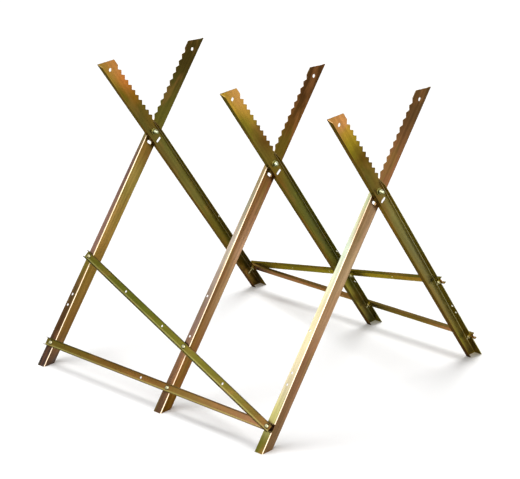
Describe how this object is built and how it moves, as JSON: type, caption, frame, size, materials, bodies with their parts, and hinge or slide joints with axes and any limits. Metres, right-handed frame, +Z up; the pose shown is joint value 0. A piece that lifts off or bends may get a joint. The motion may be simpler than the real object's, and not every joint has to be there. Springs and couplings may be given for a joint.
{
  "type": "folding sawhorse",
  "caption": "Folding steel sawhorse: toothed legs cross in an X and make a V cradle for logs, tied by lower and diagonal braces, folding flat about bolts.",
  "frame": {"origin": "centre of the standing area on the ground, below the pivot line and midway between the outer pairs of legs, sawhorse open", "axes": "+X along the log, towards the pair of legs that stands nearer the middle pair; -Y to the front, where the legs with their tops at the back stand; +Z up"},
  "size_m": [0.8442, 0.8492, 0.7846],
  "materials": {
    "leg_zinc": "yellow-passivated zinc plate, iridescent olive to bronze",
    "brace_zinc": "yellow-passivated zinc plate, olive",
    "brace_fasteners": "pale yellow zinc plate",
    "pivot_fasteners": "pale yellow zinc plate"
  },
  "bodies": {
    "rear_set": {"pivot_bolt_1": "pivot_fasteners", "pivot_bolt_2": "pivot_fasteners", "pivot_bolt_3": "pivot_fasteners", "pivot_head_washer_1": "pivot_fasteners", "pivot_head_washer_2": "pivot_fasteners", "pivot_head_washer_3": "pivot_fasteners", "pivot_nut_1": "pivot_fasteners", "pivot_nut_2": "pivot_fasteners", "pivot_nut_3": "pivot_fasteners", "pivot_nut_washer_1": "pivot_fasteners", "pivot_nut_washer_2": "pivot_fasteners", "pivot_nut_washer_3": "pivot_fasteners", "rear_diagonal_bolt_a": "brace_fasteners", "rear_diagonal_bolt_b": "brace_fasteners", "rear_diagonal_brace": "brace_zinc", "rear_diagonal_nut_a": "brace_fasteners", "rear_diagonal_nut_b": "brace_fasteners", "rear_leg_1": "leg_zinc", "rear_leg_2": "leg_zinc", "rear_leg_3": "leg_zinc", "rear_lower_bolt_a": "brace_fasteners", "rear_lower_bolt_b": "brace_fasteners", "rear_lower_brace": "brace_zinc", "rear_lower_nut_a": "brace_fasteners", "rear_lower_nut_b": "brace_fasteners", "rear_shared_bolt": "brace_fasteners", "rear_shared_nut": "brace_fasteners"},
    "front_set": {"front_diagonal_bolt_a": "brace_fasteners", "front_diagonal_bolt_b": "brace_fasteners", "front_diagonal_brace": "brace_zinc", "front_diagonal_nut_a": "brace_fasteners", "front_diagonal_nut_b": "brace_fasteners", "front_leg_1": "leg_zinc", "front_leg_2": "leg_zinc", "front_leg_3": "leg_zinc", "front_lower_bolt_a": "brace_fasteners", "front_lower_bolt_b": "brace_fasteners", "front_lower_brace": "brace_zinc", "front_lower_nut_a": "brace_fasteners", "front_lower_nut_b": "brace_fasteners", "front_shared_bolt": "brace_fasteners", "front_shared_nut": "brace_fasteners"}
  },
  "joints": [
    {"name": "fold", "type": "hinge", "parent": "rear_set", "child": "front_set", "pos_m": [0, 0, 0.5584], "axis": [1, 0, 0], "range_deg": [0, 71]}
  ]
}
